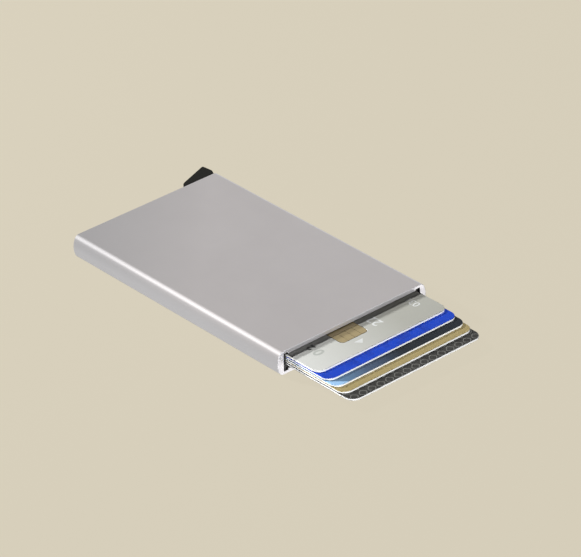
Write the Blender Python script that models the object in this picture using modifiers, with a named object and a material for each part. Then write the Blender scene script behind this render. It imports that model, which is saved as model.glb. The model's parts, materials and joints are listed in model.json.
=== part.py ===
"""Minimalist card wallet: an aluminium case, its cards, and the lever that fans them out.

Metres, +Z up.  +X is to the right, the card mouth faces -Y, the lever end faces +Y.
The origin is the middle of the case's underside.  All sizes below are in millimetres.
"""
import math

import bpy

MM = 0.001

# Case: one extruded aluminium tube
CASE_LENGTH = 98.0
CASE_WIDTH = 61.3
CASE_HEIGHT = 8.2
CASE_RADIUS = 1.94          # rounding between the top or bottom and a side
SIDE_TURN = 25.0            # the bulged side turns this far either way from upright
SIDE_WALL = 2.45
LAND_WALL = 1.45            # top and bottom wall over the cards
CHANNEL_WALL = 0.95         # thinner wall in the two side channels
CHANNEL_WIDTH = 1.8
MOUTH_CHAMFER = 0.18
POCKET_WALL = 1.0           # wall where the end cap sits
POCKET_DEPTH = 10.8

# Cards: ISO ID-1
CARD_WIDTH = 53.98
CARD_LENGTH = 85.6
CARD_RADIUS = 3.18
CARD_THICKNESS = 0.72
CARD_PITCH = 0.765
TOP_CARD_Z = 6.47           # upper face of the top card
FAN_OUT = (14.17, 18.67, 22.19, 25.41, 29.25)   # how far each card stands out of the mouth

# Chip modules, flush in a pocket of each payment card
CHIP_CARDS = (1, 2, 3, 5)
CHIP_WIDTH = 11.0
CHIP_LENGTH = 13.0
CHIP_CENTRE_X = -5.15
CHIP_FROM_EDGE = 7.3
CHIP_RADIUS = 1.4
CHIP_THICKNESS = 0.27
CHIP_GAP = 0.1
CHIP_POCKET = 0.30

# Lever: hub and push tab, with one ejector finger for each card
PIVOT_X = 24.0
PIVOT_Y = 43.8
HUB_RADIUS = 3.75
NOSE_RADIUS = 2.0
NOSE_GAP = 0.25
HOME_ANGLE = 4.0            # the arm leans this far towards the cards at rest
FULL_ANGLE = 44.0           # and this far when the cards are fanned out
LEVER_BOTTOM = 1.82
FINGER_TOP = 6.50
FINGER_BOTTOM = 1.84
FINGER_GAP = 0.01
FINGER_ROOT = 6.4           # where the fingers start, from the pivot
ROOT_HALF_WIDTH = 3.3
TAB_TOP = 6.95
HUB_TOP = 6.45
HUB_CLEARANCE = 4.15        # the tall tab starts outside this radius
HUB_STEP = 0.05             # hub and arm root end this far under the pieces they join
UNION_STEP = 0.01           # keeps the joined pieces' faces from lying in one plane
PUSH_TAB = (                # corners of the tab as x, y, radius
    (21.5, 42.5, 0.8), (27.2, 43.2, 0.8), (27.9, 49.2, 2.0), (30.7, 52.3, 1.8),
    (30.25, 56.9, 0.5), (16.75, 51.95, 3.0), (17.2, 48.6, 0.6),
)
SPRING_BORE = 3.05
SPRING_FLOOR = 3.6
PIN_RADIUS = 1.2
BORE_CLEARANCE = 0.06

# End cap: a black plastic box that closes the lever end
CAP_GAP = 0.05
CAP_FRONT = 38.4
CAP_PLATE = 0.5
CAP_WALL_Y = 46.6
CAP_END_WALL = 0.4
CAP_RECESS = 0.1
SWEEP_X = 12.6              # right of this the cap is open for the tab
SWEEP_Y = 41.3
TONGUE_RADIUS = 3.6
LEG_HOLE = 0.45

# Return spring: a torsion coil with one upright leg
WIRE_RADIUS = 0.2
SPRING_TURNS = 3
STEPS_PER_TURN = 12
SPRING_END_GAP = 0.1
SPRING_LEG_BEND = (0.12, 0.35)      # the leg's bend: this far in Y and above the last turn
SPRING_LEG_TIP = (0.08, 0.1)        # the leg's tip: this far in Y and under the pin's top
PIN_END_GAP = 0.05

# Card brakes: spring steel leaf, plastic carrier and felt in each side channel
BRAKE_FRONT = -48.6
BRAKE_REAR = 37.6
LEAF_THICKNESS = 0.12
LEAF_BOW = 0.15
CARRIER_THICKNESS = 0.40
FELT_THICKNESS = 0.36
BRAKE_END_GAP = 0.05
LEAF_GAP = 0.06             # between leaf and wall, and between leaf and carrier
LEAF_SIDE_INSET = 0.8
LEAF_END_INSET = 2.0
LEAF_STEPS = 24
FELT_GAP = 0.02
FELT_INSET = 0.05

LINER_BOTTOM_GAP = 0.02
LINER_THICKNESS = 0.27
LINER_HALF_WIDTH = 26.2

# Cutters run on past the piece that they cut
OVERCUT = 1.0
ABOVE_ALL = 10.0
BELOW_ALL = 0.0
SHARP_ANGLE = 70.0          # only the case's end rims are this sharp

ARC_STEPS = 8
ROUND_SIDES = 32

HALF_LENGTH = CASE_LENGTH / 2
INNER_HALF = CASE_WIDTH / 2 - SIDE_WALL
CHANNEL_BOTTOM = CHANNEL_WALL
CHANNEL_TOP = CASE_HEIGHT - CHANNEL_WALL


def clear_scene():
    """Remove the objects that the scene starts with."""
    for item in list(bpy.data.objects):
        bpy.data.objects.remove(item, do_unlink=True)


def make_collection(name):
    """Add a collection under the scene's own."""
    collection = bpy.data.collections.new(name)
    bpy.context.scene.collection.children.link(collection)
    return collection


def move_to(item, collection):
    """Put an object in one collection only."""
    for owner in list(item.users_collection):
        owner.objects.unlink(item)
    collection.objects.link(item)


def material(name, colour, roughness, metallic=0.0):
    """Make one Principled material."""
    made = bpy.data.materials.new(name)
    made.use_nodes = True
    shader = made.node_tree.nodes["Principled BSDF"]
    shader.inputs["Base Color"].default_value = (*colour, 1.0)
    shader.inputs["Roughness"].default_value = roughness
    shader.inputs["Metallic"].default_value = metallic
    return made


def select_only(item):
    """Make one object the selected and active one."""
    bpy.ops.object.select_all(action="DESELECT")
    item.select_set(True)
    bpy.context.view_layer.objects.active = item


def arc(cx, cy, radius, start, end, steps=ARC_STEPS):
    """Points along a circular arc, angles in degrees."""
    points = []
    for step in range(steps + 1):
        angle = math.radians(start + (end - start) * step / steps)
        points.append((cx + radius * math.cos(angle), cy + radius * math.sin(angle)))
    return points


def rounded_rectangle(x0, y0, x1, y1, radius, steps=ARC_STEPS):
    """Outline of a rectangle with rounded corners."""
    outline = arc(x1 - radius, y0 + radius, radius, 270, 360, steps)
    outline += arc(x1 - radius, y1 - radius, radius, 0, 90, steps)
    outline += arc(x0 + radius, y1 - radius, radius, 90, 180, steps)
    outline += arc(x0 + radius, y0 + radius, radius, 180, 270, steps)
    return outline


def rounded_polygon(corners, steps=ARC_STEPS):
    """Outline from (x, y, radius) corners in order, each corner turned into an arc."""
    outline = []
    count = len(corners)
    for index, (x, y, radius) in enumerate(corners):
        before = corners[index - 1]
        after = corners[(index + 1) % count]
        to_before = math.atan2(before[1] - y, before[0] - x)
        to_after = math.atan2(after[1] - y, after[0] - x)
        opening = (to_before - to_after) % (2 * math.pi)
        middle = to_after + opening / 2
        reach = radius / math.sin(opening / 2)
        cx = x + reach * math.cos(middle)
        cy = y + reach * math.sin(middle)
        start = math.degrees(to_before) + 90
        turn = 180 - math.degrees(opening)
        outline += arc(cx, cy, radius, start, start + turn, steps)
    return outline


def plate(name, outlines, bottom, top, collection, finish=None):
    """Flat solid between two heights, from a 2D curve.  The first outline is the rim."""
    curve = bpy.data.curves.new(name, "CURVE")
    curve.dimensions = "2D"
    curve.fill_mode = "BOTH"
    curve.extrude = (top - bottom) / 2 * MM
    for outline in outlines:
        spline = curve.splines.new("POLY")
        spline.points.add(len(outline) - 1)
        for point, (x, y) in zip(spline.points, outline):
            point.co = (x * MM, y * MM, 0.0, 1.0)
        spline.use_cyclic_u = True
    item = bpy.data.objects.new(name, curve)
    collection.objects.link(item)
    item.location.z = (top + bottom) / 2 * MM
    return to_mesh(item, finish)


def to_mesh(item, finish=None):
    """Turn a curve object into a welded mesh."""
    select_only(item)
    bpy.ops.object.convert(target="MESH")
    item = bpy.context.object
    bpy.ops.object.mode_set(mode="EDIT")
    bpy.ops.mesh.select_all(action="SELECT")
    bpy.ops.mesh.remove_doubles(threshold=1e-6)
    bpy.ops.mesh.normals_make_consistent(inside=False)
    bpy.ops.object.mode_set(mode="OBJECT")
    if finish:
        item.data.materials.clear()
        item.data.materials.append(finish)
    return item


def block(name, low, high, collection, finish=None):
    """Box between two corners."""
    centre = [(a + b) / 2 * MM for a, b in zip(low, high)]
    bpy.ops.mesh.primitive_cube_add(size=1.0, location=centre)
    item = bpy.context.object
    item.name = name
    item.scale = [(b - a) * MM for a, b in zip(low, high)]
    bpy.ops.object.transform_apply(location=False, rotation=False, scale=True)
    move_to(item, collection)
    if finish:
        item.data.materials.append(finish)
    return item


def cylinder(name, x, y, radius, bottom, top, collection, finish=None):
    """Upright cylinder."""
    bpy.ops.mesh.primitive_cylinder_add(
        vertices=ROUND_SIDES,
        radius=radius * MM,
        depth=(top - bottom) * MM,
        location=(x * MM, y * MM, (top + bottom) / 2 * MM),
    )
    item = bpy.context.object
    item.name = name
    move_to(item, collection)
    if finish:
        item.data.materials.append(finish)
    return item


def combine(target, tool, operation):
    """Add a Boolean with another object, and hide that object from renders."""
    modifier = target.modifiers.new(operation.title() + " " + tool.name, "BOOLEAN")
    modifier.operation = operation
    modifier.solver = "EXACT"
    modifier.object = tool
    tool.display_type = "WIRE"
    tool.hide_render = True


def set_origin(item, x, y):
    """Move an object's origin to an upright axis through x, y."""
    bpy.context.scene.cursor.location = (x * MM, y * MM, 0.0)
    select_only(item)
    bpy.ops.object.origin_set(type="ORIGIN_CURSOR")


def card_face_z(index):
    """Height of a card's upper face; the top card is number 1."""
    return TOP_CARD_Z - (index - 1) * CARD_PITCH


def card_front_y(index):
    """Where a card's leading edge is."""
    return -HALF_LENGTH - FAN_OUT[index - 1]


def case_outline():
    """Section of the tube: flat top and bottom, and bulged sides with tighter corners."""
    middle = CASE_HEIGHT / 2
    radius = CASE_RADIUS
    side = radius + (middle - radius) / math.sin(math.radians(SIDE_TURN))
    side_x = CASE_WIDTH / 2 - side
    corner_x = side_x + (side - radius) * math.cos(math.radians(SIDE_TURN))
    right = arc(corner_x, radius, radius, 270, 360 - SIDE_TURN, 7)
    right += arc(side_x, middle, side, -SIDE_TURN, SIDE_TURN, 8)[1:-1]
    right += arc(corner_x, CASE_HEIGHT - radius, radius, SIDE_TURN, 90, 7)
    return right + [(-x, y) for x, y in reversed(right)]


def make_housing(parts, cutters):
    """The tube: outer skin, stepped cavity, and the pocket for the end cap."""
    land = INNER_HALF - CHANNEL_WIDTH
    floor = LAND_WALL
    roof = CASE_HEIGHT - LAND_WALL
    cavity = [
        (-INNER_HALF, CHANNEL_BOTTOM), (-land, CHANNEL_BOTTOM), (-land, floor),
        (land, floor), (land, CHANNEL_BOTTOM), (INNER_HALF, CHANNEL_BOTTOM),
        (INNER_HALF, CHANNEL_TOP), (land, CHANNEL_TOP), (land, roof),
        (-land, roof), (-land, CHANNEL_TOP), (-INNER_HALF, CHANNEL_TOP),
    ]
    finish = material("case_aluminium", (0.46, 0.44, 0.43), 0.38, 1.0)
    case = plate("housing", [case_outline(), cavity], -HALF_LENGTH, HALF_LENGTH, parts, finish)
    case.rotation_euler.x = math.pi / 2
    case.location = (0.0, 0.0, 0.0)
    bevel = case.modifiers.new("Rim chamfer", "BEVEL")
    bevel.width = MOUTH_CHAMFER * MM
    bevel.segments = 1
    bevel.limit_method = "ANGLE"
    bevel.angle_limit = math.radians(SHARP_ANGLE)
    low = (-INNER_HALF, HALF_LENGTH - POCKET_DEPTH, POCKET_WALL)
    high = (INNER_HALF, HALF_LENGTH + OVERCUT, CASE_HEIGHT - POCKET_WALL)
    combine(case, block("cap_pocket", low, high, cutters), "DIFFERENCE")
    return case


def make_cards(parts, cutters):
    """Five cards, and a chip module in each payment card."""
    finishes = (
        material("card_light_grey", (0.56, 0.57, 0.52), 0.42),
        material("card_royal_blue", (0.03, 0.08, 0.52), 0.40),
        material("card_dark_navy", (0.03, 0.04, 0.06), 0.40),
        material("card_gold", (0.43, 0.35, 0.16), 0.40),
        material("card_carbon", (0.06, 0.06, 0.06), 0.40),
    )
    contact = material("chip_contacts", (0.45, 0.35, 0.16), 0.35, 1.0)
    half = CARD_WIDTH / 2
    for index in range(1, 6):
        face = card_face_z(index)
        front = card_front_y(index)
        outline = rounded_rectangle(-half, front, half, front + CARD_LENGTH, CARD_RADIUS)
        name = f"card_{index}"
        card = plate(name, [outline], face - CARD_THICKNESS, face, parts, finishes[index - 1])
        set_origin(card, 0.0, front)
        if index in CHIP_CARDS:
            start = front + CHIP_FROM_EDGE
            module = chip_outline(start, 0.0)
            seat = face - CHIP_POCKET
            top = face - (CHIP_POCKET - CHIP_THICKNESS) / 2
            chip = plate(f"chip_{index}", [module], top - CHIP_THICKNESS, top, parts, contact)
            set_origin(chip, 0.0, front)
            pocket = [chip_outline(start, CHIP_GAP)]
            combine(card, plate(f"chip_pocket_{index}", pocket, seat, face + OVERCUT, cutters),
                    "DIFFERENCE")


def chip_outline(start, grow):
    """Rounded outline of a chip module, or of its pocket when grown."""
    left = CHIP_CENTRE_X - CHIP_WIDTH / 2 - grow
    right = CHIP_CENTRE_X + CHIP_WIDTH / 2 + grow
    radius = CHIP_RADIUS + grow
    return rounded_rectangle(left, start - grow, right, start + CHIP_LENGTH + grow, radius, 5)


def step_boundary(index):
    """Height half way between card index and the card below it."""
    return card_face_z(index) - (CARD_THICKNESS + CARD_PITCH) / 2


def finger_reach(index):
    """Distance from pivot to nose that just meets a fanned-out card."""
    rear = card_front_y(index) + CARD_LENGTH
    return (PIVOT_Y - NOSE_RADIUS - NOSE_GAP - rear) / math.sin(math.radians(FULL_ANGLE))


def along_arm(distance, offset):
    """Point at a distance from the pivot along the arm, and to its side."""
    heading = math.radians(180 + HOME_ANGLE)
    x = PIVOT_X + distance * math.cos(heading) - offset * math.sin(heading)
    y = PIVOT_Y + distance * math.sin(heading) + offset * math.cos(heading)
    return x, y


def finger_outline(reach):
    """Tapered finger from its root near the hub out to its rounded nose."""
    run = reach - FINGER_ROOT
    slant = math.hypot(run, ROOT_HALF_WIDTH)
    lean = math.atan2(ROOT_HALF_WIDTH, run) - math.asin(NOSE_RADIUS / slant)
    side = 90 - math.degrees(lean)
    heading = 180 + HOME_ANGLE
    outline = arc(*along_arm(reach, 0.0), NOSE_RADIUS, heading - side, heading + side, 10)
    outline.append(along_arm(FINGER_ROOT, ROOT_HALF_WIDTH))
    outline.append(along_arm(FINGER_ROOT, -ROOT_HALF_WIDTH))
    return outline


def make_lever(parts, cutters):
    """Hub with its push tab, and the five fingers that each push one card."""
    finish = material("lever_plastic", (0.022, 0.021, 0.018), 0.45)
    lever = cylinder("ejector_lever", PIVOT_X, PIVOT_Y, HUB_RADIUS, LEVER_BOTTOM,
                     TAB_TOP - HUB_STEP, parts, finish)
    end = FINGER_ROOT - 2 * FINGER_GAP
    stub = [along_arm(0.0, -ROOT_HALF_WIDTH), along_arm(end, -ROOT_HALF_WIDTH),
            along_arm(end, ROOT_HALF_WIDTH), along_arm(0.0, ROOT_HALF_WIDTH)]
    arm_root = plate("arm_root", [stub], LEVER_BOTTOM + 2 * UNION_STEP, HUB_TOP - HUB_STEP, cutters)
    combine(lever, arm_root, "UNION")
    tab = rounded_polygon(PUSH_TAB, 6)
    combine(lever, plate("push_tab", [tab], LEVER_BOTTOM + UNION_STEP, TAB_TOP, cutters), "UNION")
    top_cut = cylinder("hub_top_cut", PIVOT_X, PIVOT_Y, HUB_CLEARANCE, HUB_TOP, ABOVE_ALL, cutters)
    spring_cut = cylinder("spring_bore", PIVOT_X, PIVOT_Y, SPRING_BORE, SPRING_FLOOR, ABOVE_ALL,
                          cutters)
    bore = PIN_RADIUS + BORE_CLEARANCE
    pin_cut = cylinder("lever_bore", PIVOT_X, PIVOT_Y, bore, BELOW_ALL, ABOVE_ALL, cutters)
    for tool in (top_cut, spring_cut, pin_cut):
        combine(lever, tool, "DIFFERENCE")
    set_origin(lever, PIVOT_X, PIVOT_Y)
    for index in range(1, 6):
        top = FINGER_TOP if index == 1 else step_boundary(index - 1) - FINGER_GAP / 2
        bottom = FINGER_BOTTOM if index == 5 else step_boundary(index) + FINGER_GAP / 2
        outline = finger_outline(finger_reach(index))
        finger = plate(f"ejector_finger_{index}", [outline], bottom, top, parts, finish)
        set_origin(finger, PIVOT_X, PIVOT_Y)


def make_cap(parts, cutters):
    """End cap: floor, roof, rear wall and left end, open where the lever swings."""
    finish = material("cap_plastic", (0.016, 0.016, 0.017), 0.5)
    half = INNER_HALF - CAP_GAP
    bottom = POCKET_WALL + CAP_GAP
    top = CASE_HEIGHT - POCKET_WALL - CAP_GAP
    rear = HALF_LENGTH - CAP_RECESS
    cap = block("end_cap", (-half, CAP_FRONT, bottom), (half, rear, top), parts, finish)
    arm_room = block("arm_room", (-half + CAP_END_WALL, CAP_FRONT - OVERCUT, bottom + CAP_PLATE),
                     (half + OVERCUT, CAP_WALL_Y, top - CAP_PLATE), cutters)
    combine(cap, arm_room, "DIFFERENCE")
    sweep = block("tab_sweep", (SWEEP_X, SWEEP_Y, bottom + CAP_PLATE),
                  (half + 2 * OVERCUT, rear + OVERCUT, top + OVERCUT), cutters)
    combine(cap, sweep, "DIFFERENCE")
    tongue = cylinder("pivot_tongue", PIVOT_X, PIVOT_Y, TONGUE_RADIUS, top - CAP_PLATE,
                      top - UNION_STEP, cutters)
    combine(cap, tongue, "UNION")
    hole = PIN_RADIUS + BORE_CLEARANCE
    bore = cylinder("cap_bore", PIVOT_X, PIVOT_Y, hole, BELOW_ALL, ABOVE_ALL, cutters)
    combine(cap, bore, "DIFFERENCE")
    leg_x = PIVOT_X + spring_radius()
    leg_hole = cylinder("spring_leg_hole", leg_x, PIVOT_Y, LEG_HOLE, HUB_TOP, ABOVE_ALL, cutters)
    combine(cap, leg_hole, "DIFFERENCE")


def spring_radius():
    """Coil radius of the return spring, half way between pin and bore."""
    return (PIN_RADIUS + SPRING_BORE) / 2


def make_pivot(parts):
    """The steel pivot pin and the torsion spring around it."""
    steel = material("pivot_steel", (0.55, 0.55, 0.56), 0.3, 1.0)
    bottom = POCKET_WALL + CAP_GAP + PIN_END_GAP
    top = CASE_HEIGHT - bottom
    cylinder("pivot_pin", PIVOT_X, PIVOT_Y, PIN_RADIUS, bottom, top, parts, steel)

    low = SPRING_FLOOR + SPRING_END_GAP + WIRE_RADIUS
    high = HUB_TOP - SPRING_END_GAP - WIRE_RADIUS
    coil = spring_radius()
    count = SPRING_TURNS * STEPS_PER_TURN
    points = []
    for step in range(count + 1):
        share = step / count
        angle = 2 * math.pi * SPRING_TURNS * share
        x = PIVOT_X + coil * math.cos(angle)
        y = PIVOT_Y + coil * math.sin(angle)
        points.append((x, y, low + (high - low) * share))
    points.append((PIVOT_X + coil, PIVOT_Y + SPRING_LEG_BEND[0], high + SPRING_LEG_BEND[1]))
    points.append((PIVOT_X + coil, PIVOT_Y + SPRING_LEG_TIP[0], top - SPRING_LEG_TIP[1]))
    curve = bpy.data.curves.new("return_spring", "CURVE")
    curve.dimensions = "3D"
    curve.bevel_depth = WIRE_RADIUS * MM
    curve.bevel_resolution = 1
    curve.use_fill_caps = True
    spline = curve.splines.new("POLY")
    spline.points.add(len(points) - 1)
    for point, place in zip(spline.points, points):
        point.co = (place[0] * MM, place[1] * MM, place[2] * MM, 1.0)
    spring = bpy.data.objects.new("return_spring", curve)
    parts.objects.link(spring)
    to_mesh(spring, steel)


def wave_strip(inner, outer, bow):
    """Outline of a thin strip in the side channel that bows towards the cards twice."""
    front = BRAKE_FRONT + LEAF_END_INSET
    rear = BRAKE_REAR - LEAF_END_INSET
    near = []
    far = []
    for step in range(LEAF_STEPS + 1):
        share = step / LEAF_STEPS
        y = front + (rear - front) * share
        shift = bow * (0.5 - 0.5 * math.cos(4 * math.pi * share))
        near.append((inner - shift, y))
        far.append((outer - shift, y))
    return far + near[::-1]


def make_brakes(parts):
    """Leaf spring, carrier and felt on both sides of the cards."""
    steel = material("leaf_steel", (0.45, 0.45, 0.46), 0.35, 1.0)
    plastic = material("carrier_plastic", (0.02, 0.02, 0.02), 0.55)
    felt = material("brake_felt", (0.035, 0.034, 0.032), 0.95)
    bottom = CHANNEL_BOTTOM + BRAKE_END_GAP
    top = CHANNEL_TOP - BRAKE_END_GAP
    wall = INNER_HALF - LEAF_GAP
    carrier_back = wall - LEAF_THICKNESS - LEAF_BOW - LEAF_GAP
    felt_back = carrier_back - CARRIER_THICKNESS - FELT_GAP
    for side, sign in (("left", -1), ("right", 1)):
        strip = wave_strip(wall - LEAF_THICKNESS, wall, LEAF_BOW)
        leaf = [(sign * x, y) for x, y in strip]
        plate(f"leaf_spring_{side}", [leaf], bottom + LEAF_SIDE_INSET, top - LEAF_SIDE_INSET,
              parts, steel)
        back = sign * carrier_back
        face = sign * (carrier_back - CARRIER_THICKNESS)
        block(f"brake_carrier_{side}", (min(back, face), BRAKE_FRONT, bottom),
              (max(back, face), BRAKE_REAR, top), parts, plastic)
        back = sign * felt_back
        face = sign * (felt_back - FELT_THICKNESS)
        block(f"felt_pad_{side}", (min(back, face), BRAKE_FRONT, bottom + FELT_INSET),
              (max(back, face), BRAKE_REAR, top - FELT_INSET), parts, felt)


def make_liner(parts):
    """Felt sheet on the floor under the cards."""
    felt = material("liner_felt", (0.04, 0.039, 0.036), 0.95)
    bottom = LAND_WALL + LINER_BOTTOM_GAP
    block("floor_liner", (-LINER_HALF_WIDTH, BRAKE_FRONT, bottom),
          (LINER_HALF_WIDTH, BRAKE_REAR, bottom + LINER_THICKNESS), parts, felt)


def main():
    """Build the whole wallet."""
    clear_scene()
    parts = make_collection("minimalist_wallet")
    cutters = make_collection("cutters")
    cutters.hide_render = True
    make_housing(parts, cutters)
    make_cards(parts, cutters)
    make_lever(parts, cutters)
    make_cap(parts, cutters)
    make_pivot(parts)
    make_brakes(parts)
    make_liner(parts)


main()
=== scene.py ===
"""Looks of the minimalist card wallet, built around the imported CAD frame.  Metres, +Z up."""
import json
import math

import bmesh
import bpy
from mathutils import Matrix, Vector

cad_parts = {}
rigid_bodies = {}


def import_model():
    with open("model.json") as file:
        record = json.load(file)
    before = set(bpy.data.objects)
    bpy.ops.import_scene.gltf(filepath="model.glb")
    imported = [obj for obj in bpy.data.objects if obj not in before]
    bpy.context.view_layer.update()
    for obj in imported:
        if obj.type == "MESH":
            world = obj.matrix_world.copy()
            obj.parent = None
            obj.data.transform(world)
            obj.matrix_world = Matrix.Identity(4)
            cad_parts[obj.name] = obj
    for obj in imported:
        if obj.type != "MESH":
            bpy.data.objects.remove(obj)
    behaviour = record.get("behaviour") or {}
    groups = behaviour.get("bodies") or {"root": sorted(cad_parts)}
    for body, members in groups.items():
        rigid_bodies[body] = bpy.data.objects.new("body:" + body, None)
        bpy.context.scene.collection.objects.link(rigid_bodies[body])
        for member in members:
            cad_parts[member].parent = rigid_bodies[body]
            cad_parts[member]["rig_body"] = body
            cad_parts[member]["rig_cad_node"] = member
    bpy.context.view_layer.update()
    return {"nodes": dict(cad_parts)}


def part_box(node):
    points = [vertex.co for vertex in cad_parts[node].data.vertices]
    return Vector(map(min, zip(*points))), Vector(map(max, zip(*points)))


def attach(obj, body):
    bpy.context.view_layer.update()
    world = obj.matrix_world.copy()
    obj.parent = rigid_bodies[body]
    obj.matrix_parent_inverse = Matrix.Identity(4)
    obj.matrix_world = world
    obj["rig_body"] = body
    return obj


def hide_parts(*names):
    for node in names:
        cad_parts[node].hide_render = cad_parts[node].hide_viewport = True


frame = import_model()

MM = 0.001
scene = bpy.context.scene
scene.view_settings.view_transform = "Standard"

# ---------------------------------------------------------------- the case's box, from the frame
case_low, case_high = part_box("housing")
CASE_HALF = case_high.x
CASE_TOP = case_high.z
MOUTH_Y = case_low.y
REAR_Y = case_high.y

# ---------------------------------------------------------------- sizes as in the CAD source
CASE_RADIUS = 1.94 * MM         # rounding between the top or bottom and a side
SIDE_TURN = 25.0                # the bulged side turns this far either way from upright
SIDE_WALL = 2.45 * MM
LAND_WALL = 1.45 * MM           # top and bottom wall over the cards
CHANNEL_WALL = 0.95 * MM        # thinner wall in the two side channels
CHANNEL_WIDTH = 1.8 * MM
POCKET_DEPTH = 10.8 * MM        # pocket for the end cap
POCKET_WALL = 1.0 * MM
CARD_RADIUS = 3.18 * MM
CHIP_RADIUS = 1.4 * MM
CHIP_GAP = 0.1 * MM
CHIP_POCKET = 0.3 * MM
INNER_HALF = CASE_HALF - SIDE_WALL

# ---------------------------------------------------------------- sizes of the finer detail
RIM_ROUND = 0.13 * MM           # rounding of the case's end rims
CAVITY_ROUND = 0.25 * MM        # rounding in the cavity's corners
CARD_ROUND = 0.15 * MM          # rounding of a card's rims
OVERCUT = 1.0 * MM              # how far a cutter stands out of the piece it cuts
PAD_STEP = 0.05 * MM            # a chip's pads stand this far over their carrier
PAD_GROOVE = 0.11 * MM
CARRIER_RING = 0.10 * MM        # width of carrier that shows around the pads
LEVER_ROUND = 0.28 * MM
MARK_LIFT = 0.012 * MM          # prints on the top card lie this far over it
FLOOR_GAP = 0.02 * MM

# Which way a face has to point to get a material, as one coordinate of its normal
END_FACE = 0.97                 # flat ends of the case
MOUTH_RIM = 0.1                 # rounded rim of the mouth
# Real print wraps round a card's top rim. Because the print and the dark back rim reach further
# round at the sides than at the ends, they also serve as painted shade in the gaps between stacked
# cards.
PRINT_AND_SHADE_AT_SIDES = 0.1            # a card's print reaches far round its side rims
PRINT_AND_SHADE_AT_ENDS = 0.6             # and less far at its front and rear
FLAT_BACK = 0.9

# Prints on the top card: piece, text, ink, left, right and start in mm, and boldness.
# Left and right are X; the start is from the card's front edge.
DIGITS = (
    ("printed_digits_middle", "22", "white_ink", 3.3, 7.0, 7.7, 0.015),
    ("printed_digits_right", "031", "white_ink", 19.9, 22.6, 7.6, 0.01),
    ("printed_digit_left", "0", "grey_ink", -21.2, -17.2, 7.2, 0.03),
    ("printed_digit_black", "2", "black_ink", -20.6, -17.6, 11.2, 0.06),
)
ARROW = ((-5.8, 3.4), (-4.0, 5.4), (-7.6, 5.4))     # corners in mm, from X = 0 and the front edge

# Studio dome: its dim base, and panels as direction, full and outer half-angle, and colour
DOME_BASE = (0.015, 0.015, 0.015)
DOME_PANELS = (
    ((0.0, 1.0, 0.0), 58, 74, (0.608, 0.602, 0.600)),
    ((-0.45, 0.649, 0.61), 2, 42, (0.88, 0.89, 0.905)),
    ((-0.50, 0.60, -0.60), 10, 50, (0.075, 0.10, 0.115)),
    ((0.563, -0.649, -0.511), 16, 40, (1.15, 1.13, 1.12)),
    ((0.0, -1.0, 0.45), 35, 80, (0.50, 0.49, 0.49)),
    ((0.80, 0.60, 0.0), 5, 28, (0.10, 0.13, 0.18)),
)

# Area lights that look at the case's middle: name, place, width, height and power
LIGHTS = (
    ("key_high", (-0.19, 0.437, 0.38), 0.05, 0.05, 3.3),
    ("key_low", (-0.25, 0.5375, 0.25), 0.05, 0.05, 6.4),
    ("front_strip", (-0.45, -0.89, 0.0), 0.6, 0.06, 9.4),
    ("left_fill", (-0.95, 0.05, 0.0), 0.4, 0.05, 2.5),
    ("right_fill", (0.85, 0.30, -0.03), 0.4, 0.05, 4.0),
    ("rear_fill", (0.15, 0.90, -0.03), 0.4, 0.05, 2.5),
    ("under_fill", (0.0, 0.0, -0.9), 0.5, 0.5, 4.0),
)
CASE_MIDDLE = (0.0, 0.0, 0.004)


# ---------------------------------------------------------------- mesh helpers
def arc(cx, cy, radius, start, end, steps=8):
    """Points along a circular arc, angles in degrees."""
    points = []
    for step in range(steps + 1):
        angle = math.radians(start + (end - start) * step / steps)
        points.append((cx + radius * math.cos(angle), cy + radius * math.sin(angle)))
    return points


def rounded_rectangle(x0, y0, x1, y1, radius, steps=8):
    """Outline of a rectangle with rounded corners."""
    outline = arc(x1 - radius, y0 + radius, radius, 270, 360, steps)
    outline += arc(x1 - radius, y1 - radius, radius, 0, 90, steps)
    outline += arc(x0 + radius, y1 - radius, radius, 90, 180, steps)
    outline += arc(x0 + radius, y0 + radius, radius, 180, 270, steps)
    return outline


def select_only(item):
    """Make one object the selected and active one."""
    bpy.ops.object.select_all(action="DESELECT")
    item.select_set(True)
    bpy.context.view_layer.objects.active = item


def apply_modifiers(item):
    """Turn an object's modifiers, or a curve, into its mesh."""
    select_only(item)
    bpy.ops.object.convert(target="MESH")
    return bpy.context.object


def smooth(item, angle=40.0):
    """Smooth shading with edges sharper than the angle kept crisp."""
    select_only(item)
    bpy.ops.object.shade_smooth_by_angle(angle=math.radians(angle))
    weighted = item.modifiers.new("Weighted normals", "WEIGHTED_NORMAL")
    weighted.keep_sharp = True
    return apply_modifiers(item)


def plate(name, outlines, bottom, top, rim=0.0, rim_steps=2):
    """Flat solid between two heights from 2D outlines, its rims rounded."""
    curve = bpy.data.curves.new(name, "CURVE")
    curve.dimensions = "2D"
    curve.fill_mode = "BOTH"
    curve.extrude = (top - bottom) / 2 - rim
    curve.bevel_depth = rim
    curve.bevel_resolution = rim_steps
    curve.offset = -rim
    for outline in outlines:
        spline = curve.splines.new("POLY")
        spline.points.add(len(outline) - 1)
        for point, (x, y) in zip(spline.points, outline):
            point.co = (x, y, 0.0, 1.0)
        spline.use_cyclic_u = True
    item = bpy.data.objects.new(name, curve)
    scene.collection.objects.link(item)
    item.location.z = (top + bottom) / 2
    item = apply_modifiers(item)
    weld(item)
    return item


def weld(item):
    """Merge doubled points and turn all faces outwards."""
    mesh = bmesh.new()
    mesh.from_mesh(item.data)
    bmesh.ops.remove_doubles(mesh, verts=mesh.verts, dist=1e-6)
    bmesh.ops.recalc_face_normals(mesh, faces=mesh.faces)
    mesh.to_mesh(item.data)
    mesh.free()


def freeze(item):
    """Put an object's place and rotation into its mesh, so its own coordinates are the frame's."""
    bpy.context.view_layer.update()
    item.data.transform(item.matrix_world)
    item.matrix_world = Matrix.Identity(4)
    return item


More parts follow.
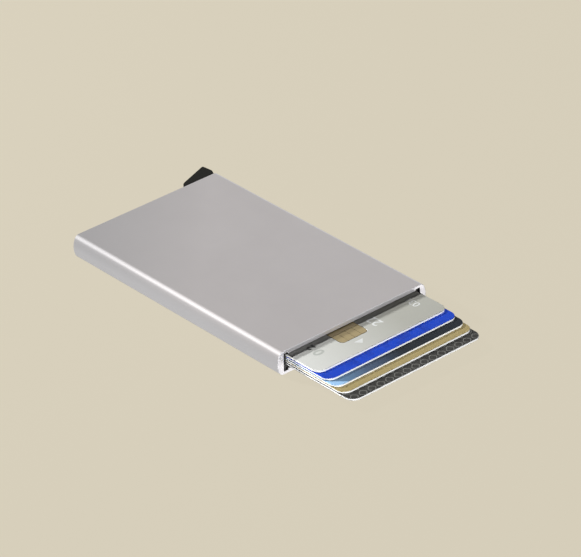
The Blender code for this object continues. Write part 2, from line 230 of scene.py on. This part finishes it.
def subtract(item, cutter):
    """Cut one object out of another, and delete the cutter."""
    cut = item.modifiers.new("Cut", "BOOLEAN")
    cut.operation = "DIFFERENCE"
    cut.solver = "EXACT"
    cut.object = cutter
    item = apply_modifiers(item)
    bpy.data.objects.remove(cutter, do_unlink=True)
    return item


def object_from(mesh, name):
    """New object in the scene from a bmesh, which is freed."""
    data = bpy.data.meshes.new(name)
    mesh.to_mesh(data)
    mesh.free()
    item = bpy.data.objects.new(name, data)
    scene.collection.objects.link(item)
    return item


def finish_with(item, *materials):
    """Give an object these materials and no others."""
    item.data.materials.clear()
    for made in materials:
        item.data.materials.append(made)


def assign_by_normal(item, choose):
    """Give each face the material whose number choose() returns for its normal."""
    for face in item.data.polygons:
        face.material_index = choose(face.normal)


# ---------------------------------------------------------------- node helpers
class Nodes:
    """A material's node tree with short ways to add to it."""

    def __init__(self, name, colour, roughness, metallic=0.0):
        self.material = bpy.data.materials.new(name)
        self.material.use_nodes = True
        self.tree = self.material.node_tree
        self.shader = self.tree.nodes["Principled BSDF"]
        self.set(self.shader, "Base Color", (*colour, 1.0))
        self.set(self.shader, "Roughness", roughness)
        self.set(self.shader, "Metallic", metallic)
        self.coords = self.tree.nodes.new("ShaderNodeTexCoord").outputs["Object"]

    def set(self, node, socket, value):
        """Set a socket's own value, or link it to another node's output."""
        if isinstance(value, bpy.types.NodeSocket):
            self.tree.links.new(value, node.inputs[socket])
        else:
            node.inputs[socket].default_value = value

    def stretch(self, scale):
        """Object coordinates times a scale for each axis."""
        node = self.tree.nodes.new("ShaderNodeMapping")
        self.set(node, "Vector", self.coords)
        self.set(node, "Scale", scale)
        return node.outputs["Vector"]

    def noise(self, scale, detail=3.0, roughness=0.5, vector=None):
        """Noise with features of about 1/scale metres."""
        node = self.tree.nodes.new("ShaderNodeTexNoise")
        self.set(node, "Vector", vector or self.coords)
        self.set(node, "Scale", scale)
        self.set(node, "Detail", detail)
        self.set(node, "Roughness", roughness)
        return node.outputs["Fac"]

    def tufts(self, scale):
        """Distance to the middle of the nearest of random cells, each about 1/scale metres."""
        node = self.tree.nodes.new("ShaderNodeTexVoronoi")
        self.set(node, "Vector", self.coords)
        self.set(node, "Scale", scale)
        return node.outputs["Distance"]

    def maths(self, operation, first, second=0.0):
        """One arithmetic step."""
        node = self.tree.nodes.new("ShaderNodeMath")
        node.operation = operation
        self.set(node, 0, first)
        self.set(node, 1, second)
        return node.outputs[0]

    def band(self, value, low, high):
        """1 where a value is between two limits, else 0."""
        return self.maths("MULTIPLY", self.maths("GREATER_THAN", value, low),
                          self.maths("LESS_THAN", value, high))

    def spread(self, value, low, high, new_low=0.0, new_high=1.0, smooth_step=False):
        """Map a range of values onto another, clamped."""
        node = self.tree.nodes.new("ShaderNodeMapRange")
        node.interpolation_type = "SMOOTHSTEP" if smooth_step else "LINEAR"
        self.set(node, "Value", value)
        self.set(node, "From Min", low)
        self.set(node, "From Max", high)
        self.set(node, "To Min", new_low)
        self.set(node, "To Max", new_high)
        return node.outputs["Result"]

    def mix(self, share, first, second):
        """Blend two colours."""
        node = self.tree.nodes.new("ShaderNodeMix")
        node.data_type = "RGBA"
        self.set(node, 0, share)
        for index, value in ((6, first), (7, second)):
            if not isinstance(value, bpy.types.NodeSocket):
                value = (*value, 1.0)
            self.set(node, index, value)
        return node.outputs[2]

    def axes(self):
        """X, Y and Z of the object coordinates."""
        node = self.tree.nodes.new("ShaderNodeSeparateXYZ")
        self.set(node, "Vector", self.coords)
        return node.outputs

    def bump(self, height, strength, distance):
        """Bump the surface by a height."""
        node = self.tree.nodes.new("ShaderNodeBump")
        self.set(node, "Height", height)
        self.set(node, "Strength", strength)
        self.set(node, "Distance", distance)
        self.set(self.shader, "Normal", node.outputs["Normal"])

    def colour(self, value):
        """Set the base colour."""
        self.set(self.shader, "Base Color", value)

    def rough(self, value):
        """Set the roughness."""
        self.set(self.shader, "Roughness", value)


# ---------------------------------------------------------------- materials
def case_aluminium():
    """Fine-blasted, clear-anodised aluminium with faint extrusion lines, and painted shade towards
    the far left corner.
    """
    n = Nodes("case_aluminium", (0.80, 0.765, 0.757), 0.36, 1.0)
    grain = n.noise(9000, 2.0)
    cloud = n.noise(60, 3.0)
    lines = n.noise(1.0, 2.0, vector=n.stretch((5200, 40, 5200)))
    base = n.mix(n.spread(cloud, 0.3, 0.7), (0.790, 0.753, 0.745), (0.818, 0.781, 0.773))
    # Painted shade: the far left corner is made a little darker, most of all on top, where the
    # light falls off.
    axes = n.axes()
    corner = n.spread(n.maths("SUBTRACT", axes["Y"], axes["X"]), 0.02, 0.08)
    corner = n.maths("MULTIPLY", corner, n.spread(axes["Z"], 0.004, 0.0075, 0.2, 1.0))
    n.colour(n.mix(corner, base, (0.64, 0.625, 0.628)))
    n.rough(n.spread(n.maths("ADD", grain, n.maths("MULTIPLY", lines, 0.4)), 0.3, 1.1, 0.33, 0.41))
    height = n.maths("ADD", grain, n.maths("MULTIPLY", lines, 0.3))
    n.bump(height, 0.10, 0.00002)
    return n.material


def cut_aluminium(name, roughness, metallic):
    """Bright, finely milled end faces and chamfers of the tube."""
    n = Nodes(name, (0.92, 0.905, 0.93), roughness, metallic)
    mill = n.noise(1.0, 2.0, vector=n.stretch((9000, 2000, 9000)))
    n.rough(n.spread(mill, 0.3, 0.7, roughness - 0.04, roughness + 0.06))
    n.colour(n.mix(n.spread(mill, 0.3, 0.7), (0.90, 0.885, 0.91), (0.94, 0.925, 0.95)))
    n.bump(mill, 0.08, 0.00002)
    return n.material


def moulded_plastic(name, colour, roughness, grain_size=0.00022):
    """Black injection-moulded plastic with a fine spark-eroded texture."""
    n = Nodes(name, colour, roughness)
    n.shader.inputs["Specular IOR Level"].default_value = 0.07
    grain = n.noise(1 / grain_size, 3.0, 0.6)
    cloud = n.noise(150, 2.0)
    lighter = tuple(min(1.0, c * 1.25 + 0.002) for c in colour)
    n.colour(n.mix(cloud, colour, lighter))
    n.rough(n.spread(grain, 0.3, 0.7, roughness - 0.06, roughness + 0.08))
    n.bump(grain, 0.25, 0.00003)
    return n.material


def felt(name, dark, light):
    """Dense felt with tangled fibres."""
    n = Nodes(name, dark, 0.95)
    fibres = n.noise(5200, 5.0, 0.7)
    tufts = n.tufts(1700)
    n.colour(n.mix(n.spread(fibres, 0.42, 0.68), dark, light))
    n.bump(n.maths("ADD", fibres, n.maths("MULTIPLY", tufts, 0.5)), 0.8, 0.00012)
    n.shader.inputs["Sheen Weight"].default_value = 0.25
    n.shader.inputs["Sheen Roughness"].default_value = 0.6
    return n.material


def steel(name, colour=(0.62, 0.62, 0.63), roughness=0.28):
    """Bright steel with fine drawn lines."""
    n = Nodes(name, colour, roughness, 1.0)
    lines = n.noise(1.0, 2.0, vector=n.stretch((1500, 1500, 12000)))
    n.rough(n.spread(lines, 0.3, 0.7, roughness - 0.06, roughness + 0.08))
    n.bump(lines, 0.08, 0.00001)
    return n.material


def card_core():
    """White plastic core that shows on a card's cut edge."""
    n = Nodes("card_core", (0.90, 0.905, 0.90), 0.5)
    layers = n.noise(1.0, 2.0, vector=n.stretch((400, 400, 14000)))
    n.colour(n.mix(n.spread(layers, 0.3, 0.7), (0.88, 0.885, 0.88), (0.94, 0.945, 0.94)))
    n.rough(n.spread(layers, 0.3, 0.7, 0.42, 0.58))
    return n.material


def card_face(name, colour, roughness=0.42):
    """Satin laminated card face: starts the tree, and its pattern is added by the caller."""
    n = Nodes(name, colour, roughness)
    n.shader.inputs["Specular IOR Level"].default_value = 0.10
    orange_peel = n.noise(2600, 2.0)
    n.rough(n.spread(n.noise(900, 3.0), 0.3, 0.7, roughness - 0.05, roughness + 0.06))
    n.bump(orange_peel, 0.06, 0.00001)
    return n


def light_grey_face():
    """Warm light grey, a little lighter on the left."""
    n = card_face("card_grey_print", (0.56, 0.57, 0.52))
    across = n.spread(n.axes()["X"], -0.027, 0.012)
    base = n.mix(across, (0.765, 0.775, 0.74), (0.50, 0.50, 0.448))
    speckle = n.spread(n.noise(3800, 2.0), 0.35, 0.65)
    n.colour(n.mix(n.maths("MULTIPLY", speckle, 0.05), base, (0.35, 0.36, 0.33)))
    return n.material


def royal_blue_face():
    """Royal blue with a mosaic of slightly darker squares."""
    n = card_face("card_blue_print", (0.03, 0.08, 0.50))
    square = 2.2 * MM
    snapped = n.tree.nodes.new("ShaderNodeVectorMath")
    snapped.operation = "SNAP"
    n.set(snapped, 0, n.coords)
    n.set(snapped, 1, (square, square, 1.0))
    random_cell = n.tree.nodes.new("ShaderNodeTexWhiteNoise")
    random_cell.noise_dimensions = "2D"
    n.set(random_cell, "Vector", snapped.outputs[0])
    cell = n.spread(random_cell.outputs["Value"], 0.55, 0.9)
    cloud = n.spread(n.noise(60, 2.0), 0.35, 0.65)
    n.colour(n.mix(n.maths("MULTIPLY", cell, cloud), (0.016, 0.070, 0.59), (0.015, 0.050, 0.41)))
    return n.material


def navy_face(card_low):
    """Near-black navy on the right, fading to slate blue, with a pale wedge in the left corner."""
    n = card_face("card_navy_print", (0.03, 0.04, 0.06))
    axes = n.axes()
    sideways = n.maths("SUBTRACT", axes["X"], card_low.x)
    along = n.maths("SUBTRACT", axes["Y"], card_low.y)
    fade = n.spread(sideways, 1.0 * MM, 14.0 * MM)
    base = n.mix(fade, (0.153, 0.285, 0.455), (0.08, 0.119, 0.196))
    fade = n.spread(sideways, 12.0 * MM, 30.0 * MM, smooth_step=True)
    base = n.mix(fade, base, (0.021, 0.026, 0.033))
    # The pale wedge lies outside a line that crosses the corner at 44 degrees.
    slope = 0.955
    diagonal = n.maths("ADD", n.maths("MULTIPLY", sideways, slope), along)
    wedge_edge = n.spread(diagonal, 4.6 * MM, 5.0 * MM)
    n.colour(n.mix(wedge_edge, (0.39, 0.64, 0.95), base))
    return n.material


def gold_face():
    """Khaki gold with a fine brushed print."""
    n = card_face("card_gold_print", (0.43, 0.35, 0.16), 0.34)
    brushed = n.noise(1.0, 3.0, vector=n.stretch((160, 6000, 1)))
    n.colour(n.mix(n.spread(brushed, 0.3, 0.7), (0.405, 0.325, 0.145), (0.46, 0.37, 0.17)))
    return n.material


def carbon_face():
    """Dark card with a diagonal chequer of rounded cells in lighter outlines."""
    n = card_face("card_carbon_print", (0.06, 0.06, 0.06))
    axes = n.axes()
    pitch = 2.53 * MM
    reach = math.sqrt(0.5) / pitch
    along = n.maths("MULTIPLY", n.maths("ADD", axes["X"], axes["Y"]), reach)
    across = n.maths("MULTIPLY", n.maths("SUBTRACT", axes["X"], axes["Y"]), reach)
    # In each cell a fourth-power distance from the middle draws a rounded square.
    powers = []
    for value in (along, across):
        part = n.maths("SUBTRACT", n.maths("FRACT", value), 0.5)
        powers.append(n.maths("POWER", n.maths("ABSOLUTE", n.maths("MULTIPLY", part, 2.0)), 4.0))
    ring = n.maths("POWER", n.maths("ADD", *powers), 0.25)
    outline = n.maths("ABSOLUTE", n.maths("SUBTRACT", ring, 0.90))
    outline = n.spread(outline, 0.05, 0.17, 1.0, 0.0, smooth_step=True)
    cells = n.maths("ADD", n.maths("FLOOR", along), n.maths("FLOOR", across))
    chequer = n.maths("FLOORED_MODULO", cells, 2.0)
    cloud = n.spread(n.noise(420, 2.0), 0.35, 0.65)
    shade = n.mix(cloud, (0.042, 0.041, 0.038), (0.062, 0.061, 0.056))
    n.colour(n.mix(n.maths("MULTIPLY", outline, chequer), shade, (0.20, 0.20, 0.185)))
    return n.material


def card_back(card_low):
    """Plain back with a magnetic stripe and a pale signature panel."""
    n = card_face("card_back_print", (0.6, 0.6, 0.58))
    axes = n.axes()
    sideways = n.maths("SUBTRACT", axes["X"], card_low.x)
    along = n.maths("SUBTRACT", axes["Y"], card_low.y)
    stripe = n.band(sideways, 4.5 * MM, 17.2 * MM)
    panel = n.maths("MULTIPLY", n.band(sideways, 21.0 * MM, 30.0 * MM),
                    n.band(along, 12.0 * MM, 66.0 * MM))
    base = n.mix(n.spread(n.noise(700, 2.0), 0.3, 0.7), (0.36, 0.37, 0.38), (0.41, 0.42, 0.43))
    marked = n.mix(stripe, base, (0.012, 0.012, 0.013))
    n.colour(n.mix(panel, marked, (0.80, 0.80, 0.77)))
    return n.material


def chip_contact():
    """Gold plating on the chip's contact pads, half metallic so that the case's shadow shows."""
    n = Nodes("chip_gold", (0.72, 0.58, 0.33), 0.36, 0.5)
    n.rough(n.spread(n.noise(3000, 3.0), 0.3, 0.7, 0.32, 0.42))
    n.colour(n.mix(n.noise(500, 2.0), (0.495, 0.392, 0.200), (0.538, 0.430, 0.229)))
    return n.material


def ink(name, colour):
    """Flat printing ink, or a flat dark colour used as painted shade."""
    n = Nodes(name, colour, 0.45)
    n.colour(n.mix(n.noise(2500, 2.0), colour, tuple(c * 0.88 for c in colour)))
    return n.material


# ---------------------------------------------------------------- pieces
def case_outline():
    """Section of the tube: flat top and bottom, and bulged sides with tighter corners."""
    middle = CASE_TOP / 2
    radius = CASE_RADIUS
    side = radius + (middle - radius) / math.sin(math.radians(SIDE_TURN))
    side_x = CASE_HALF - side
    corner_x = side_x + (side - radius) * math.cos(math.radians(SIDE_TURN))
    right = arc(corner_x, radius, radius, 270, 360 - SIDE_TURN, 14)
    right += arc(side_x, middle, side, -SIDE_TURN, SIDE_TURN, 16)[1:-1]
    right += arc(corner_x, CASE_TOP - radius, radius, SIDE_TURN, 90, 14)
    return right + [(-x, y) for x, y in reversed(right)]


def make_housing():
    """The extruded tube: outer skin, stepped cavity, and the pocket for the end cap."""
    land = INNER_HALF - CHANNEL_WIDTH
    channel_top = CASE_TOP - CHANNEL_WALL
    roof = CASE_TOP - LAND_WALL
    corners = [
        (-INNER_HALF, CHANNEL_WALL), (-land, CHANNEL_WALL), (-land, LAND_WALL),
        (land, LAND_WALL), (land, CHANNEL_WALL), (INNER_HALF, CHANNEL_WALL),
        (INNER_HALF, channel_top), (land, channel_top), (land, roof),
        (-land, roof), (-land, channel_top), (-INNER_HALF, channel_top),
    ]
    # Where a channel meets the floor or roof the wall stands out, and its edge stays sharp.
    sharp = {2, 3, 8, 9}
    cavity = []
    for index, (x, z) in enumerate(corners):
        if index in sharp:
            cavity.append((x, z))
            continue
        before = Vector(corners[index - 1]) - Vector((x, z))
        after = Vector(corners[(index + 1) % len(corners)]) - Vector((x, z))
        centre = Vector((x, z)) + (before.normalized() + after.normalized()) * CAVITY_ROUND
        start = math.degrees(math.atan2(-after.y, -after.x))
        cavity += arc(centre.x, centre.y, CAVITY_ROUND, start, start + 90, 4)
    case = plate("housing_shell", [case_outline(), cavity], MOUTH_Y, REAR_Y, RIM_ROUND)
    case.rotation_euler.x = math.pi / 2
    case.location = (0.0, 0.0, 0.0)
    freeze(case)
    pocket_low = Vector((-INNER_HALF, REAR_Y - POCKET_DEPTH, POCKET_WALL))
    pocket_high = Vector((INNER_HALF, REAR_Y + OVERCUT, CASE_TOP - POCKET_WALL))
    bpy.ops.mesh.primitive_cube_add(size=1.0, location=(pocket_low + pocket_high) / 2)
    cutter = bpy.context.object
    cutter.scale = pocket_high - pocket_low
    case = subtract(case, cutter)
    finish_with(case, case_aluminium(), cut_aluminium("cut_face", 0.48, 0.8),
                cut_aluminium("cut_chamfer", 0.62, 0.3))

    def choose(normal):
        """1 on the end faces, 2 on the mouth's rim, 0 elsewhere."""
        if abs(normal.y) > END_FACE:
            return 1
        return 2 if normal.y < -MOUTH_RIM else 0

    assign_by_normal(case, choose)
    case = smooth(case)
    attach(case, "case")
    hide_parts("housing")


def make_card(index, face, core, back):
    """One card with rounded rims, a printed face, a white core, a printed back and a back rim
    painted dark as shade.
    """
    low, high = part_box(f"card_{index}")
    outline = rounded_rectangle(low.x, low.y, high.x, high.y, CARD_RADIUS, 14)
    card = plate(f"card_{index}_sheet", [outline], low.z, high.z, CARD_ROUND)
    freeze(card)
    has_chip = f"chip_{index}" in frame["nodes"]
    if has_chip:
        chip_low, chip_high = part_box(f"chip_{index}")
        pocket = rounded_rectangle(chip_low.x - CHIP_GAP, chip_low.y - CHIP_GAP,
                                   chip_high.x + CHIP_GAP, chip_high.y + CHIP_GAP,
                                   CHIP_RADIUS + CHIP_GAP)
        card = subtract(card, plate("pocket_cutter", [pocket], high.z - CHIP_POCKET,
                                    high.z + OVERCUT))
    finish_with(card, face, core, back, BACK_RIM_PAINTED_SHADE)

    def choose(normal):
        """0 on the printed face, 1 on the core, 2 on the back, 3 on the back's rim, painted
        near-black as shade between cards; both rims reach further round the sides as painted shade
        in the gaps there.
        """
        limit = PRINT_AND_SHADE_AT_SIDES if abs(normal.x) > abs(normal.y) else PRINT_AND_SHADE_AT_ENDS
        if normal.z > limit:
            return 0
        if normal.z < -limit:
            return 2 if normal.z < -FLAT_BACK else 3
        return 1

    assign_by_normal(card, choose)
    card = smooth(card)
    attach(card, f"card_body_{index}")
    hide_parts(f"card_{index}")
    if has_chip:
        make_chip(index, chip_low, chip_high)


def make_chip(index, low, high):
    """Contact module: pads parted by thin grooves on a dark carrier."""
    carrier_top = high.z - PAD_STEP
    outline = rounded_rectangle(low.x, low.y, high.x, high.y, CHIP_RADIUS)
    carrier = plate(f"chip_{index}_carrier", [outline], low.z, carrier_top)
    finish_with(carrier, CHIP_CARRIER)
    freeze(carrier)
    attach(smooth(carrier), f"card_body_{index}")
    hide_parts(f"chip_{index}")
    mesh = bmesh.new()
    half = PAD_GROOVE / 2
    ring = Vector((CARRIER_RING, CARRIER_RING, 0.0))
    limits = (low + ring, high - ring, CHIP_RADIUS - CARRIER_RING)
    for x0, y0, x1, y1 in chip_pads(low.x, low.y, high.x - low.x, high.y - low.y):
        add_pad(mesh, x0 + half, y0 + half, x1 - half, y1 - half, carrier_top, high.z, limits)
    piece = object_from(mesh, f"chip_{index}_pads")
    finish_with(piece, CHIP_GOLD)
    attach(piece, f"card_body_{index}")


def chip_pads(x, y, width, length):
    """Two rows of four contact pads, and one broad ground pad between, as x0, y0, x1, y1."""
    across = 4
    deep = length * 0.38
    pads = []
    for number in range(across):
        x0 = x + width * number / across
        x1 = x + width * (number + 1) / across
        pads.append((x0, y, x1, y + deep))
        pads.append((x0, y + length - deep, x1, y + length))
    pads.append((x, y + deep, x + width, y + length - deep))
    return pads


def add_pad(mesh, x0, y0, x1, y1, bottom, top, limits):
    """One pad, its outer corners following the module's rounded outline."""
    low, high, radius = limits
    x0, x1 = max(x0, low.x), min(x1, high.x)
    y0, y1 = max(y0, low.y), min(y1, high.y)
    outline = []
    for x, y, sx, sy in ((x1, y0, 1, -1), (x1, y1, 1, 1), (x0, y1, -1, 1), (x0, y0, -1, -1)):
        cx = high.x - radius if sx > 0 else low.x + radius
        cy = high.y - radius if sy > 0 else low.y + radius
        at_corner = (x - cx) * sx > 0 and (y - cy) * sy > 0
        if not at_corner:
            outline.append((x, y))
            continue
        # The arc keeps the pad's own distance from the outline.
        inner = radius - ((high.x - x) if sx > 0 else (x - low.x))
        middle = {(1, -1): 315, (1, 1): 45, (-1, 1): 135, (-1, -1): 225}[(sx, sy)]
        outline += arc(cx, cy, inner, middle - 45, middle + 45, 6)
    ring_top = [mesh.verts.new((px, py, top)) for px, py in outline]
    ring_low = [mesh.verts.new((px, py, bottom)) for px, py in outline]
    mesh.faces.new(ring_top)
    mesh.faces.new(ring_low[::-1])
    count = len(outline)
    for k in range(count):
        after = (k + 1) % count
        mesh.faces.new((ring_low[k], ring_low[after], ring_top[after], ring_top[k]))


def print_digits(name, text, made, left, right, start, bold):
    """Generic digits printed along the top card, their height from left to right in X."""
    low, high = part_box("card_1")
    curve = bpy.data.curves.new(name, "FONT")
    curve.body = text
    curve.offset = bold
    item = bpy.data.objects.new(name, curve)
    scene.collection.objects.link(item)
    item = apply_modifiers(item)
    xs = [v.co.x for v in item.data.vertices]
    ys = [v.co.y for v in item.data.vertices]
    scale = (right - left) / (max(ys) - min(ys))
    turned = Matrix.Rotation(math.radians(90), 4, "Z") @ Matrix.Scale(scale, 4)
    item.data.transform(turned @ Matrix.Translation((-min(xs), -min(ys), 0.0)))
    item.data.transform(Matrix.Translation((right, low.y + start, high.z + MARK_LIFT)))
    finish_with(item, made)
    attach(item, "card_body_1")


def make_marks():
    """The insertion arrow and a few generic digits printed on the top card."""
    inks = {
        "white_ink": ink("white_ink", (0.86, 0.88, 0.86)),
        "black_ink": ink("black_ink", (0.012, 0.012, 0.012)),
        "grey_ink": ink("grey_ink", (0.54, 0.56, 0.52)),
    }
    for name, text, made, left, right, start, bold in DIGITS:
        print_digits(name, text, inks[made], left * MM, right * MM, start * MM, bold)
    low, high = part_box("card_1")
    mesh = bmesh.new()
    ring = [mesh.verts.new((x * MM, low.y + y * MM, high.z + MARK_LIFT)) for x, y in ARROW]
    mesh.faces.new(ring)
    arrow = object_from(mesh, "printed_arrow")
    finish_with(arrow, inks["white_ink"])
    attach(arrow, "card_body_1")


def make_lever():
    """Push tab and hub with soft edges, and the five fingers."""
    lever = frame["nodes"]["ejector_lever"]
    plastic = moulded_plastic("lever_plastic", (0.0062, 0.0060, 0.0044), 0.42)
    tab = lever.copy()
    tab.data = lever.data.copy()
    tab.name = "push_lever"
    tab.hide_render = False
    scene.collection.objects.link(tab)
    tab.parent = None
    # Coplanar triangles are joined first, so that the bevel meets only true edges.
    mesh = bmesh.new()
    mesh.from_mesh(tab.data)
    bmesh.ops.remove_doubles(mesh, verts=mesh.verts, dist=2e-6)
    bmesh.ops.dissolve_limit(mesh, angle_limit=math.radians(2), verts=mesh.verts, edges=mesh.edges)
    mesh.to_mesh(tab.data)
    mesh.free()
    bevel = tab.modifiers.new("Soft edges", "BEVEL")
    bevel.width = LEVER_ROUND
    bevel.segments = 3
    bevel.limit_method = "ANGLE"
    bevel.angle_limit = math.radians(50)
    tab = apply_modifiers(tab)
    finish_with(tab, plastic)
    tab = smooth(tab, 35)
    # The copy drops the CAD node's own marks before it gets new ones.
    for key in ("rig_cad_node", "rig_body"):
        if key in tab:
            del tab[key]
    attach(tab, "lever")
    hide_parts("ejector_lever")
    for index in range(1, 6):
        finish_with(frame["nodes"][f"ejector_finger_{index}"], plastic)


def finish_cad_nodes():
    """Materials of the CAD nodes whose shape stays as it is."""
    cap = moulded_plastic("cap_plastic", (0.017, 0.017, 0.018), 0.5)
    lining = felt("brake_felt", (0.018, 0.017, 0.016), (0.095, 0.092, 0.088))
    pin = steel("pivot_steel")
    leaf = steel("leaf_steel", (0.5, 0.5, 0.51), 0.34)
    finishes = {
        "end_cap": cap, "brake_carrier_left": cap, "brake_carrier_right": cap,
        "felt_pad_left": lining, "felt_pad_right": lining, "floor_liner": lining,
        "pivot_pin": pin, "return_spring": pin, "leaf_spring_left": leaf,
        "leaf_spring_right": leaf,
    }
    for name, made in finishes.items():
        finish_with(frame["nodes"][name], made)


# ---------------------------------------------------------------- stage
def make_floor():
    """Pale floor that glows evenly, so that no shadow shows on it, as in the photo."""
    bpy.ops.mesh.primitive_plane_add(size=6.0, location=(0.0, 0.0, -FLOOR_GAP))
    floor = bpy.context.object
    floor.name = "floor"
    paper = bpy.data.materials.new("pale_paper")
    paper.use_nodes = True
    tree = paper.node_tree
    shader = tree.nodes["Principled BSDF"]
    shader.inputs["Base Color"].default_value = (0.02, 0.018, 0.015, 1.0)
    shader.inputs["Roughness"].default_value = 0.9
    shader.inputs["Specular IOR Level"].default_value = 0.0
    shader.inputs["Emission Color"].default_value = (0.672, 0.617, 0.491, 1.0)
    shader.inputs["Emission Strength"].default_value = 0.98
    floor.data.materials.append(paper)
    for ray in ("glossy", "diffuse", "transmission", "shadow"):
        setattr(floor, f"visible_{ray}", False)


def make_dome():
    """Studio dome: dim all round, with soft bright panels in set directions."""
    world = bpy.data.worlds.new("studio_dome")
    scene.world = world
    world.use_nodes = True
    tree = world.node_tree
    background = tree.nodes["Background"]
    background.inputs["Strength"].default_value = 1.0
    direction = tree.nodes.new("ShaderNodeTexCoord").outputs["Generated"]
    total = tree.nodes.new("ShaderNodeCombineXYZ")
    for index, value in enumerate(DOME_BASE):
        total.inputs[index].default_value = value
    light = total.outputs[0]
    for towards, inner, outer, colour in DOME_PANELS:
        dot = tree.nodes.new("ShaderNodeVectorMath")
        dot.operation = "DOT_PRODUCT"
        tree.links.new(direction, dot.inputs[0])
        dot.inputs[1].default_value = Vector(towards).normalized()
        share = tree.nodes.new("ShaderNodeMapRange")
        share.interpolation_type = "SMOOTHSTEP"
        tree.links.new(dot.outputs["Value"], share.inputs["Value"])
        share.inputs["From Min"].default_value = math.cos(math.radians(outer))
        share.inputs["From Max"].default_value = math.cos(math.radians(inner))
        scaled = tree.nodes.new("ShaderNodeVectorMath")
        scaled.operation = "SCALE"
        scaled.inputs[0].default_value = colour
        tree.links.new(share.outputs["Result"], scaled.inputs["Scale"])
        added = tree.nodes.new("ShaderNodeVectorMath")
        added.operation = "ADD"
        tree.links.new(light, added.inputs[0])
        tree.links.new(scaled.outputs[0], added.inputs[1])
        light = added.outputs[0]
    tree.links.new(light, background.inputs["Color"])
    # The dome only shows in reflections: the lamps alone light the matt surfaces.
    world.cycles_visibility.diffuse = False


def add_light(name, place, aim, width, height, power):
    """Rectangular area light at a place, looking at a point, unseen in reflections."""
    lamp = bpy.data.lights.new(name, "AREA")
    lamp.shape = "RECTANGLE"
    lamp.size = width
    lamp.size_y = height
    lamp.energy = power
    item = bpy.data.objects.new(name, lamp)
    scene.collection.objects.link(item)
    item.location = place
    item.rotation_euler = (Vector(aim) - Vector(place)).to_track_quat("-Z", "Y").to_euler()
    item.visible_glossy = False
    return item


def make_lights():
    """Keys from behind on the left, low fills all round, and a gloss on the near left corner."""
    for name, place, width, height, power in LIGHTS:
        add_light(name, place, CASE_MIDDLE, width, height, power)
    # The low key's long shadow comes from the case alone, as on the photo's top card.
    blockers = bpy.data.collections.new("case_shadow")
    blockers.objects.link(bpy.data.objects["housing_shell"])
    bpy.data.objects["key_low"].light_linking.blocker_collection = blockers
    corner = (-CASE_HALF, MOUTH_Y, CASE_TOP)
    gloss = add_light("corner_gloss", (-0.286, 0.276, 0.288), corner, 0.12, 0.12, 0.03)
    gloss.visible_glossy = True
    gloss.visible_diffuse = False


def make_camera():
    """Long lens from the front left, as in the product view."""
    azimuth = math.radians(-40.958)
    elevation = math.radians(30.730)
    roll = math.radians(-1.462)
    distance = 1.1928
    target = Vector((0.010854, -0.008006, 0.0))
    back = Vector((math.sin(azimuth) * math.cos(elevation),
                   -math.cos(azimuth) * math.cos(elevation), math.sin(elevation)))
    right = Vector((0, 0, 1)).cross(back).normalized()
    up = back.cross(right)
    turned_right = math.cos(roll) * right + math.sin(roll) * up
    turned_up = math.cos(roll) * up - math.sin(roll) * right
    camera = bpy.data.cameras.new("camera")
    camera.sensor_width = 36.0
    camera.lens = 234.83
    camera.clip_start = 0.05
    item = bpy.data.objects.new("camera", camera)
    scene.collection.objects.link(item)
    rotation = Matrix((turned_right, turned_up, back)).transposed().to_4x4()
    item.matrix_world = Matrix.Translation(target + back * distance) @ rotation
    scene.camera = item


# ---------------------------------------------------------------- build
CHIP_GOLD = chip_contact()
CHIP_CARRIER = moulded_plastic("chip_carrier", (0.012, 0.011, 0.009), 0.5)
# Painted shade: the cards' back rims are near-black and stand in for the shade in the gaps between
# stacked cards.
BACK_RIM_PAINTED_SHADE = ink("card_back_rim_painted_shade", (0.012, 0.012, 0.013))
make_housing()
core = card_core()
faces = {
    1: light_grey_face(), 2: royal_blue_face(), 3: navy_face(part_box("card_3")[0]),
    4: gold_face(), 5: carbon_face(),
}
for number, printed in faces.items():
    make_card(number, printed, core, card_back(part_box(f"card_{number}")[0]))
make_marks()
make_lever()
finish_cad_nodes()
make_floor()
make_dome()
make_lights()
make_camera()
